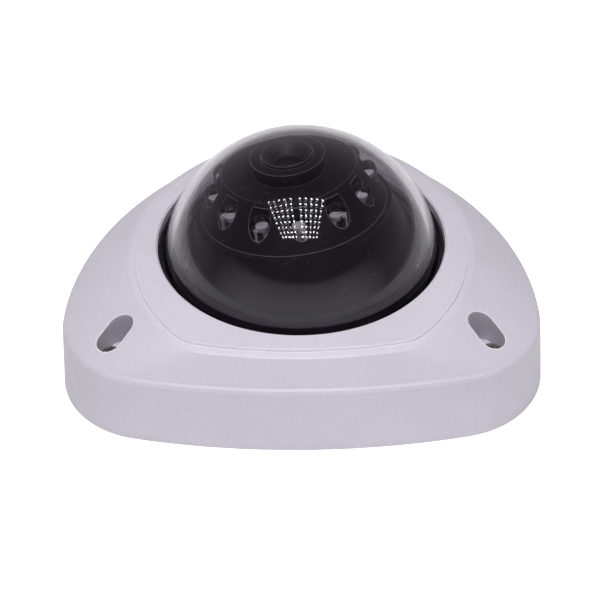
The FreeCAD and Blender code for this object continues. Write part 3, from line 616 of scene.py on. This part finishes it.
def make_bubble(materials):
    """The clear dome with its flange, turned finely so that its reflections run smooth."""
    low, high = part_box("dome_bubble")
    flange_r, crown, bottom = high.x / MM, high.z / MM, low.z / MM
    centre = PIVOT.z / MM
    outer_r = crown - centre
    inner_r = outer_r - BUBBLE_WALL
    flange_top = bottom + FLANGE_TALL
    foot = flange_top + FILLET - centre
    foot_r = math.sqrt(outer_r ** 2 - foot ** 2)
    foot_outside = math.degrees(math.asin(foot / outer_r))
    foot_inside = math.degrees(math.asin((bottom - centre) / inner_r))

    profile = arc_points(0, centre, outer_r, 90, foot_outside, BUBBLE_ARC_STEPS)
    profile += [(foot_r + FILLET_OUT, flange_top + FILLET_UP), (foot_r + FILLET, flange_top),
                (flange_r - FLANGE_EASE, flange_top), (flange_r, flange_top - FLANGE_EASE),
                (flange_r, bottom + FLANGE_EASE), (flange_r - FLANGE_EASE, bottom)]
    profile += arc_points(0, centre, inner_r, foot_inside, 90, BUBBLE_ARC_STEPS)
    profile[0] = (0, profile[0][1])
    profile[-1] = (0, profile[-1][1])

    bubble = new_piece("clear_bubble", lambda bm: lathe(bm, profile, BUBBLE_SIDES),
                       materials["clear_bubble"], "housing", smooth=50)
    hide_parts("dome_bubble")


# ------------------------------------------------------------------------- studio set-up
def staged_mesh(name, verts, faces, material):
    """A mesh that is scenery and not part of the object."""
    mesh = bpy.data.meshes.new(name)
    mesh.from_pydata(verts, [], faces)
    mesh.materials.append(material)
    obj = bpy.data.objects.new(name, mesh)
    bpy.context.scene.collection.objects.link(obj)
    return obj


FLOOR_HALF = 0.45
FLOOR_LEVEL = -0.00005
FLOOR_GLOW = 0.26
FLOOR_GLOW_SEEN = 0.62


def make_floor():
    """A plain white table top, whose glow is stronger to the camera than to what it lights."""
    material, tree, shader, place = new_material("floor")
    stops = [(NOISE_LOW, (0.86, 0.86, 0.865)), (NOISE_HIGH, (0.88, 0.88, 0.885))]
    tree.links.new(ramp(tree, noise(tree, place, 6, 2), stops), shader.inputs["Base Color"])
    shader.inputs["Roughness"].default_value = 0.9
    shader.inputs["Specular IOR Level"].default_value = 0.1
    shader.inputs["Emission Color"].default_value = (1, 1, 1, 1)
    seen = tree.nodes.new("ShaderNodeLightPath").outputs["Is Camera Ray"]
    glow = levels(tree, seen, FLOOR_GLOW, FLOOR_GLOW_SEEN, 0, 1)
    tree.links.new(glow, shader.inputs["Emission Strength"])
    corners = [(x * FLOOR_HALF, y * FLOOR_HALF, FLOOR_LEVEL)
               for x, y in ((-1, -1), (1, -1), (1, 1), (-1, 1))]
    staged_mesh("floor", corners, [(0, 1, 2, 3)], material)


def area_light(name, place, target, size, power, colour):
    """A square lamp facing the target. It lights, but isn't mirrored or seen through clear parts."""
    data = bpy.data.lights.new(name, "AREA")
    data.shape = "SQUARE"
    data.size = size
    data.energy = power
    data.color = colour
    light = bpy.data.objects.new(name, data)
    light.location = place
    light.rotation_euler = (Vector(target) - Vector(place)).to_track_quat("-Z", "Y").to_euler()
    light.visible_glossy = False
    light.visible_transmission = False
    bpy.context.scene.collection.objects.link(light)


# The studio is DIM about one direction and BRIGHT away from it, with cosines for where each begins.
DIM_ELEVATION = math.radians(62)
STUDIO_FRONT = Vector((0, -math.cos(DIM_ELEVATION), math.sin(DIM_ELEVATION)))
DIM_EDGE = -0.5
DIM_CORE = 0.86
BRIGHT = 0.30
DIM = 0.05
TABLE_GLOW = 0.75


def studio_strength(tree, place):
    """Dim overhead on the photographer's side, which is a fixed direction, with the brightly lit
    table's far end low in front."""
    dot = tree.nodes.new("ShaderNodeVectorMath")
    dot.operation = "DOT_PRODUCT"
    dot.inputs[1].default_value = STUDIO_FRONT
    tree.links.new(place, dot.inputs[0])
    overhead = levels(tree, dot.outputs["Value"], BRIGHT, DIM, DIM_EDGE, DIM_CORE, "SMOOTHSTEP")

    parts = tree.nodes.new("ShaderNodeSeparateXYZ")
    tree.links.new(place, parts.inputs["Vector"])
    table = levels(tree, parts.outputs["Z"], TABLE_GLOW, TABLE_GLOW * 0.5, 0.0, 0.34)
    for axis, start, end in (("Z", 0.34, 0.42), ("Y", -0.75, -0.25)):
        within = levels(tree, parts.outputs[axis], 1, 0, start, end)
        table = arithmetic(tree, "MULTIPLY", table, within)
    return arithmetic(tree, "ADD", overhead, table)


def make_world():
    """The studio that lights and is mirrored, behind a plain backdrop that only the camera sees."""
    world = bpy.data.worlds.new("studio")
    world.use_nodes = True
    tree = world.node_tree
    place = tree.nodes.new("ShaderNodeTexCoord").outputs["Generated"]
    studio = tree.nodes["Background"]
    studio.inputs["Color"].default_value = (0.985, 0.97, 1.0, 1)
    tree.links.new(studio_strength(tree, place), studio.inputs["Strength"])
    backdrop = tree.nodes.new("ShaderNodeBackground")
    backdrop.inputs["Color"].default_value = (0.97, 0.97, 0.975, 1)
    by_ray(tree, "Is Camera Ray", studio.outputs["Background"], backdrop.outputs["Background"],
           "World Output")
    bpy.context.scene.world = world


def make_lights():
    """A softbox on each side in front, and a fill overhead."""
    middle = (0, 0, 0.02)
    softbox_white = (1.0, 0.985, 1.0)
    for name, place, size, power, colour in (
            ("softbox_left", (-0.55, -0.50, 0.35), 0.6, 0.35, softbox_white),
            ("softbox_right", (0.65, -0.50, 0.35), 0.6, 0.65, softbox_white),
            ("overhead_fill", (-0.02, -0.06, 0.60), 0.35, 2.4, (1, 1, 1))):
        area_light(name, place, middle, size, power, colour)


# The lamp over the camera: a level panel of small round diodes in two halves, narrower in front.
LAMP_REAR = Vector((-0.014, -0.002, 0.250))
LAMP_FRONT = Vector((-0.002, -0.137, 0.250))
LAMP_WIDTH = 0.146
LAMP_NARROWING = 0.036
LAMP_COLUMNS = 10
LAMP_ROWS = 8
LAMP_GAP = 0.010
DIODE_R = 0.0031
DIODE_SIDES = 8
DIODE_STRENGTH = 34


def make_lamp_panel():
    """It lights the object and is mirrored, but the camera doesn't see it and it casts no shadow."""
    material = bpy.data.materials.new("lamp_diode")
    material.use_nodes = True
    tree = material.node_tree
    tree.nodes.remove(tree.nodes["Principled BSDF"])
    glow = tree.nodes.new("ShaderNodeEmission")
    glow.inputs["Color"].default_value = (1.0, 0.97, 1.0, 1)
    glow.inputs["Strength"].default_value = DIODE_STRENGTH
    tree.links.new(glow.outputs["Emission"], tree.nodes["Material Output"].inputs["Surface"])
    along = Vector((0, 1, 0))
    across = Vector((1, 0, 0))
    verts, faces = [], []
    for column in range(LAMP_COLUMNS):
        share = column / (LAMP_COLUMNS - 1) - 0.5
        for row in range(LAMP_ROWS):
            forward = row / (LAMP_ROWS - 1)
            x = share * (LAMP_WIDTH - LAMP_NARROWING * forward) + math.copysign(LAMP_GAP / 2, share)
            middle = LAMP_REAR.lerp(LAMP_FRONT, forward) + across * x
            first = len(verts)
            for step in range(DIODE_SIDES):
                angle = WHOLE_TURN * step / DIODE_SIDES
                verts.append(middle + (across * math.cos(angle) + along * math.sin(angle)) * DIODE_R)
            faces.append(tuple(range(first, first + DIODE_SIDES)))
    panel = staged_mesh("lamp_panel", verts, faces, material)
    panel.visible_camera = False
    panel.visible_shadow = False


# -------------------------------------------------------------------------------- build
bpy.context.scene.view_settings.view_transform = "Standard"
make_camera()
MATERIALS = make_materials()
dress_nodes(MATERIALS)
make_leds(MATERIALS)
make_cover_screws(MATERIALS)
make_bubble(MATERIALS)
make_floor()
make_world()
make_lights()
make_lamp_panel()

bpy.context.view_layer.update()
